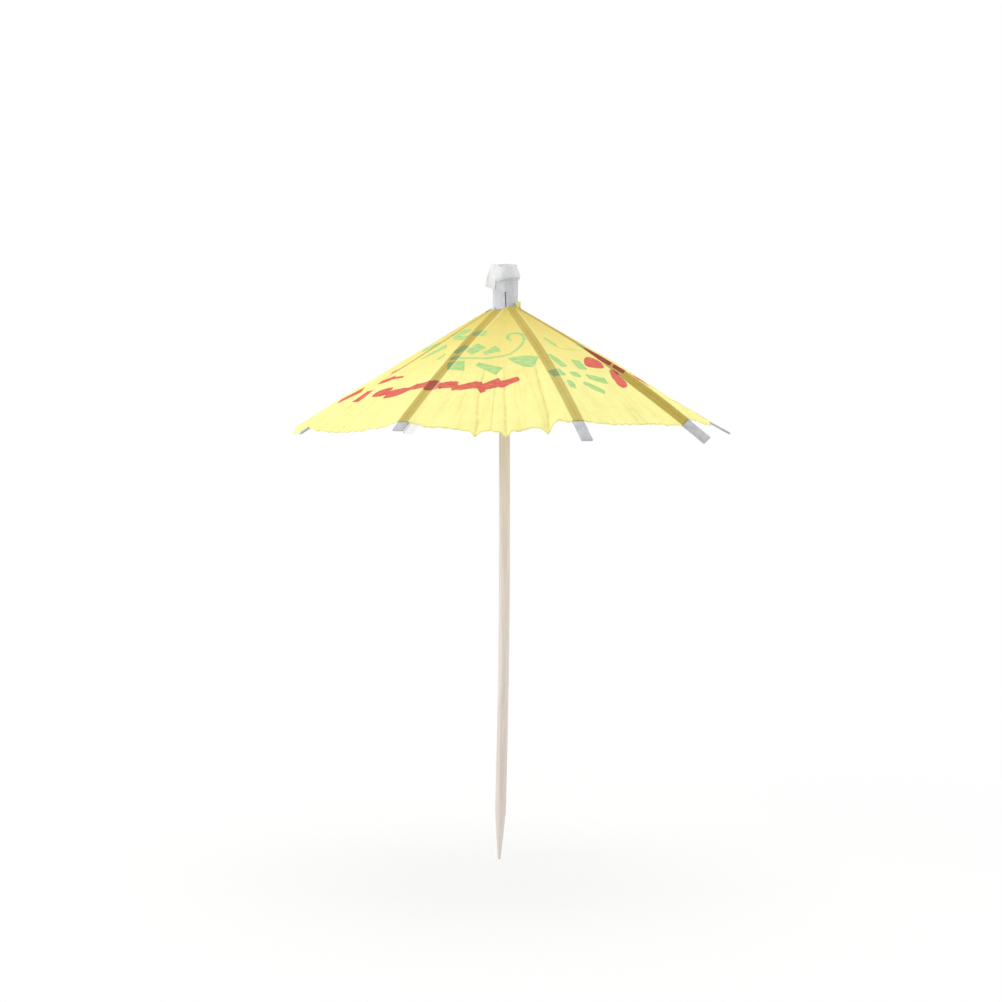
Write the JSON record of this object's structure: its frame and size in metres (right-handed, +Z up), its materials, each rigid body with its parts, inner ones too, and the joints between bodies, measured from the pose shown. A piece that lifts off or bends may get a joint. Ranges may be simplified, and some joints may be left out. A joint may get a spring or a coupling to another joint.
{
  "type": "cocktail umbrella pick",
  "caption": "Small paper umbrella on a pointed wooden pick, with card ribs, struts and a sliding runner that fold the printed canopy, for decorating drinks and ice cream.",
  "frame": {"origin": "on the pick's axis, where its point meets the straight shank", "axes": "+Z up the pick towards the canopy; -Y is the side the picture shows"},
  "size_m": [0.0722, 0.0722, 0.1025],
  "materials": {
    "pick_wood": "bare turned wood",
    "grey_card": "matt grey card",
    "newsprint": "matt, unprinted",
    "clear_film": "milky clear film",
    "ring_plastic": "milky",
    "canopy_paper": "thin matt printed paper"
  },
  "bodies": {
    "pick": {"pick": "pick_wood", "collar": "grey_card", "collar_packing": "newsprint", "film_sleeve": "clear_film"},
    "rib_1": {"rib_1": "grey_card", "strut_tab_1": "grey_card", "canopy_strip_1": "canopy_paper"},
    "strut_1": {"strut_1": "grey_card"},
    "gore_1_left": {"canopy_1_left": "canopy_paper"},
    "gore_1_right": {"canopy_1_right": "canopy_paper"},
    "rib_2": {"rib_2": "grey_card", "strut_tab_2": "grey_card", "canopy_strip_2": "canopy_paper"},
    "strut_2": {"strut_2": "grey_card"},
    "gore_2_left": {"canopy_2_left": "canopy_paper"},
    "gore_2_right": {"canopy_2_right": "canopy_paper"},
    "rib_3": {"rib_3": "grey_card", "strut_tab_3": "grey_card", "canopy_strip_3": "canopy_paper"},
    "strut_3": {"strut_3": "grey_card"},
    "gore_3_left": {"canopy_3_left": "canopy_paper"},
    "gore_3_right": {"canopy_3_right": "canopy_paper"},
    "rib_4": {"rib_4": "grey_card", "strut_tab_4": "grey_card", "canopy_strip_4": "canopy_paper"},
    "strut_4": {"strut_4": "grey_card"},
    "gore_4_left": {"canopy_4_left": "canopy_paper"},
    "gore_4_right": {"canopy_4_right": "canopy_paper"},
    "rib_5": {"rib_5": "grey_card", "strut_tab_5": "grey_card", "canopy_strip_5": "canopy_paper"},
    "strut_5": {"strut_5": "grey_card"},
    "gore_5_left": {"canopy_5_left": "canopy_paper"},
    "gore_5_right": {"canopy_5_right": "canopy_paper"},
    "rib_6": {"rib_6": "grey_card", "strut_tab_6": "grey_card", "canopy_strip_6": "canopy_paper"},
    "strut_6": {"strut_6": "grey_card"},
    "gore_6_left": {"canopy_6_left": "canopy_paper"},
    "gore_6_right": {"canopy_6_right": "canopy_paper"},
    "rib_7": {"rib_7": "grey_card", "strut_tab_7": "grey_card", "canopy_strip_7": "canopy_paper"},
    "strut_7": {"strut_7": "grey_card"},
    "gore_7_left": {"canopy_7_left": "canopy_paper"},
    "gore_7_right": {"canopy_7_right": "canopy_paper"},
    "rib_8": {"rib_8": "grey_card", "strut_tab_8": "grey_card", "canopy_strip_8": "canopy_paper"},
    "strut_8": {"strut_8": "grey_card"},
    "gore_8_left": {"canopy_8_left": "canopy_paper"},
    "gore_8_right": {"canopy_8_right": "canopy_paper"},
    "runner": {"runner": "grey_card", "runner_packing": "newsprint"},
    "retainer": {"retaining_ring": "ring_plastic"}
  },
  "joints": [
    {"name": "rib_1_fold", "type": "hinge", "parent": "pick", "child": "rib_1", "pos_m": [0.0018, 0.00075, 0.0861], "axis": [-0.3827, 0.9239, 0], "range_deg": [0, 49.5]},
    {"name": "strut_1_swing", "type": "hinge", "parent": "rib_1", "child": "strut_1", "pos_m": [0.01198, 0.00496, 0.07919], "axis": [0.3827, -0.9239, 0], "range_deg": [0, 99]},
    {"name": "gore_1_left_pleat", "type": "hinge", "parent": "rib_1", "child": "gore_1_left", "pos_m": [0.00226, -0.00006, 0.08629], "axis": [-0.796, -0.3297, 0.5075], "range_deg": [0, 68.69], "deforming": ["canopy_1_left"]},
    {"name": "gore_1_right_pleat", "type": "hinge", "parent": "rib_1", "child": "gore_1_right", "pos_m": [0.00155, 0.00164, 0.08629], "axis": [0.796, 0.3297, -0.5075], "range_deg": [0, 68.69], "deforming": ["canopy_1_right"]},
    {"name": "rib_2_fold", "type": "hinge", "parent": "pick", "child": "rib_2", "pos_m": [0.00075, 0.0018, 0.0861], "axis": [-0.9239, 0.3827, 0], "range_deg": [0, 49.5]},
    {"name": "strut_2_swing", "type": "hinge", "parent": "rib_2", "child": "strut_2", "pos_m": [0.00496, 0.01198, 0.07919], "axis": [0.9239, -0.3827, 0], "range_deg": [0, 99]},
    {"name": "gore_2_left_pleat", "type": "hinge", "parent": "rib_2", "child": "gore_2_left", "pos_m": [0.00164, 0.00155, 0.08629], "axis": [-0.3297, -0.796, 0.5075], "range_deg": [0, 68.69], "deforming": ["canopy_2_left"]},
    {"name": "gore_2_right_pleat", "type": "hinge", "parent": "rib_2", "child": "gore_2_right", "pos_m": [-0.00006, 0.00226, 0.08629], "axis": [0.3297, 0.796, -0.5075], "range_deg": [0, 68.69], "deforming": ["canopy_2_right"]},
    {"name": "rib_3_fold", "type": "hinge", "parent": "pick", "child": "rib_3", "pos_m": [-0.00075, 0.0018, 0.0861], "axis": [-0.9239, -0.3827, 0], "range_deg": [0, 49.5]},
    {"name": "strut_3_swing", "type": "hinge", "parent": "rib_3", "child": "strut_3", "pos_m": [-0.00496, 0.01198, 0.07919], "axis": [0.9239, 0.3827, 0], "range_deg": [0, 99]},
    {"name": "gore_3_left_pleat", "type": "hinge", "parent": "rib_3", "child": "gore_3_left", "pos_m": [0.00006, 0.00226, 0.08629], "axis": [0.3297, -0.796, 0.5075], "range_deg": [0, 68.69], "deforming": ["canopy_3_left"]},
    {"name": "gore_3_right_pleat", "type": "hinge", "parent": "rib_3", "child": "gore_3_right", "pos_m": [-0.00164, 0.00155, 0.08629], "axis": [-0.3297, 0.796, -0.5075], "range_deg": [0, 68.69], "deforming": ["canopy_3_right"]},
    {"name": "rib_4_fold", "type": "hinge", "parent": "pick", "child": "rib_4", "pos_m": [-0.0018, 0.00075, 0.0861], "axis": [-0.3827, -0.9239, 0], "range_deg": [0, 49.5]},
    {"name": "strut_4_swing", "type": "hinge", "parent": "rib_4", "child": "strut_4", "pos_m": [-0.01198, 0.00496, 0.07919], "axis": [0.3827, 0.9239, 0], "range_deg": [0, 99]},
    {"name": "gore_4_left_pleat", "type": "hinge", "parent": "rib_4", "child": "gore_4_left", "pos_m": [-0.00155, 0.00164, 0.08629], "axis": [0.796, -0.3297, 0.5075], "range_deg": [0, 68.69], "deforming": ["canopy_4_left"]},
    {"name": "gore_4_right_pleat", "type": "hinge", "parent": "rib_4", "child": "gore_4_right", "pos_m": [-0.00226, -0.00006, 0.08629], "axis": [-0.796, 0.3297, -0.5075], "range_deg": [0, 68.69], "deforming": ["canopy_4_right"]},
    {"name": "rib_5_fold", "type": "hinge", "parent": "pick", "child": "rib_5", "pos_m": [-0.0018, -0.00075, 0.0861], "axis": [0.3827, -0.9239, 0], "range_deg": [0, 49.5]},
    {"name": "strut_5_swing", "type": "hinge", "parent": "rib_5", "child": "strut_5", "pos_m": [-0.01198, -0.00496, 0.07919], "axis": [-0.3827, 0.9239, 0], "range_deg": [0, 99]},
    {"name": "gore_5_left_pleat", "type": "hinge", "parent": "rib_5", "child": "gore_5_left", "pos_m": [-0.00226, 0.00006, 0.08629], "axis": [0.796, 0.3297, 0.5075], "range_deg": [0, 68.69], "deforming": ["canopy_5_left"]},
    {"name": "gore_5_right_pleat", "type": "hinge", "parent": "rib_5", "child": "gore_5_right", "pos_m": [-0.00155, -0.00164, 0.08629], "axis": [-0.796, -0.3297, -0.5075], "range_deg": [0, 68.69], "deforming": ["canopy_5_right"]},
    {"name": "rib_6_fold", "type": "hinge", "parent": "pick", "child": "rib_6", "pos_m": [-0.00075, -0.0018, 0.0861], "axis": [0.9239, -0.3827, 0], "range_deg": [0, 49.5]},
    {"name": "strut_6_swing", "type": "hinge", "parent": "rib_6", "child": "strut_6", "pos_m": [-0.00496, -0.01198, 0.07919], "axis": [-0.9239, 0.3827, 0], "range_deg": [0, 99]},
    {"name": "gore_6_left_pleat", "type": "hinge", "parent": "rib_6", "child": "gore_6_left", "pos_m": [-0.00164, -0.00155, 0.08629], "axis": [0.3297, 0.796, 0.5075], "range_deg": [0, 68.69], "deforming": ["canopy_6_left"]},
    {"name": "gore_6_right_pleat", "type": "hinge", "parent": "rib_6", "child": "gore_6_right", "pos_m": [0.00006, -0.00226, 0.08629], "axis": [-0.3297, -0.796, -0.5075], "range_deg": [0, 68.69], "deforming": ["canopy_6_right"]},
    {"name": "rib_7_fold", "type": "hinge", "parent": "pick", "child": "rib_7", "pos_m": [0.00075, -0.0018, 0.0861], "axis": [0.9239, 0.3827, 0], "range_deg": [0, 49.5]},
    {"name": "strut_7_swing", "type": "hinge", "parent": "rib_7", "child": "strut_7", "pos_m": [0.00496, -0.01198, 0.07919], "axis": [-0.9239, -0.3827, 0], "range_deg": [0, 99]},
    {"name": "gore_7_left_pleat", "type": "hinge", "parent": "rib_7", "child": "gore_7_left", "pos_m": [-0.00006, -0.00226, 0.08629], "axis": [-0.3297, 0.796, 0.5075], "range_deg": [0, 68.69], "deforming": ["canopy_7_left"]},
    {"name": "gore_7_right_pleat", "type": "hinge", "parent": "rib_7", "child": "gore_7_right", "pos_m": [0.00164, -0.00155, 0.08629], "axis": [0.3297, -0.796, -0.5075], "range_deg": [0, 68.69], "deforming": ["canopy_7_right"]},
    {"name": "rib_8_fold", "type": "hinge", "parent": "pick", "child": "rib_8", "pos_m": [0.0018, -0.00075, 0.0861], "axis": [0.3827, 0.9239, 0], "range_deg": [0, 49.5]},
    {"name": "strut_8_swing", "type": "hinge", "parent": "rib_8", "child": "strut_8", "pos_m": [0.01198, -0.00496, 0.07919], "axis": [-0.3827, -0.9239, 0], "range_deg": [0, 99]},
    {"name": "gore_8_left_pleat", "type": "hinge", "parent": "rib_8", "child": "gore_8_left", "pos_m": [0.00155, -0.00164, 0.08629], "axis": [-0.796, 0.3297, 0.5075], "range_deg": [0, 68.69], "deforming": ["canopy_8_left"]},
    {"name": "gore_8_right_pleat", "type": "hinge", "parent": "rib_8", "child": "gore_8_right", "pos_m": [0.00226, 0.00006, 0.08629], "axis": [0.796, -0.3297, -0.5075], "range_deg": [0, 68.69], "deforming": ["canopy_8_right"]},
    {"name": "runner_crease", "type": "hinge", "parent": "strut_1", "child": "runner", "pos_m": [0.0018, 0.00075, 0.07228], "axis": [-0.3827, 0.9239, 0], "range_deg": [0, 49.5]},
    {"name": "retainer_slide", "type": "slide", "parent": "runner", "child": "retainer", "axis": [0, 0, -1], "range_m": [0, 0.051]}
  ],
  "couplings": [
    {"joint": "strut_1_swing", "follows": "rib_1_fold", "ratio": 2},
    {"joint": "gore_1_left_pleat", "follows": "rib_1_fold", "ratio": 1.3876},
    {"joint": "gore_1_right_pleat", "follows": "rib_1_fold", "ratio": 1.3876},
    {"joint": "rib_2_fold", "follows": "rib_1_fold", "ratio": 1},
    {"joint": "strut_2_swing", "follows": "rib_1_fold", "ratio": 2},
    {"joint": "gore_2_left_pleat", "follows": "rib_1_fold", "ratio": 1.3876},
    {"joint": "gore_2_right_pleat", "follows": "rib_1_fold", "ratio": 1.3876},
    {"joint": "rib_3_fold", "follows": "rib_1_fold", "ratio": 1},
    {"joint": "strut_3_swing", "follows": "rib_1_fold", "ratio": 2},
    {"joint": "gore_3_left_pleat", "follows": "rib_1_fold", "ratio": 1.3876},
    {"joint": "gore_3_right_pleat", "follows": "rib_1_fold", "ratio": 1.3876},
    {"joint": "rib_4_fold", "follows": "rib_1_fold", "ratio": 1},
    {"joint": "strut_4_swing", "follows": "rib_1_fold", "ratio": 2},
    {"joint": "gore_4_left_pleat", "follows": "rib_1_fold", "ratio": 1.3876},
    {"joint": "gore_4_right_pleat", "follows": "rib_1_fold", "ratio": 1.3876},
    {"joint": "rib_5_fold", "follows": "rib_1_fold", "ratio": 1},
    {"joint": "strut_5_swing", "follows": "rib_1_fold", "ratio": 2},
    {"joint": "gore_5_left_pleat", "follows": "rib_1_fold", "ratio": 1.3876},
    {"joint": "gore_5_right_pleat", "follows": "rib_1_fold", "ratio": 1.3876},
    {"joint": "rib_6_fold", "follows": "rib_1_fold", "ratio": 1},
    {"joint": "strut_6_swing", "follows": "rib_1_fold", "ratio": 2},
    {"joint": "gore_6_left_pleat", "follows": "rib_1_fold", "ratio": 1.3876},
    {"joint": "gore_6_right_pleat", "follows": "rib_1_fold", "ratio": 1.3876},
    {"joint": "rib_7_fold", "follows": "rib_1_fold", "ratio": 1},
    {"joint": "strut_7_swing", "follows": "rib_1_fold", "ratio": 2},
    {"joint": "gore_7_left_pleat", "follows": "rib_1_fold", "ratio": 1.3876},
    {"joint": "gore_7_right_pleat", "follows": "rib_1_fold", "ratio": 1.3876},
    {"joint": "rib_8_fold", "follows": "rib_1_fold", "ratio": 1},
    {"joint": "strut_8_swing", "follows": "rib_1_fold", "ratio": 2},
    {"joint": "gore_8_left_pleat", "follows": "rib_1_fold", "ratio": 1.3876},
    {"joint": "gore_8_right_pleat", "follows": "rib_1_fold", "ratio": 1.3876},
    {"joint": "runner_crease", "follows": "rib_1_fold", "ratio": 1}
  ]
}
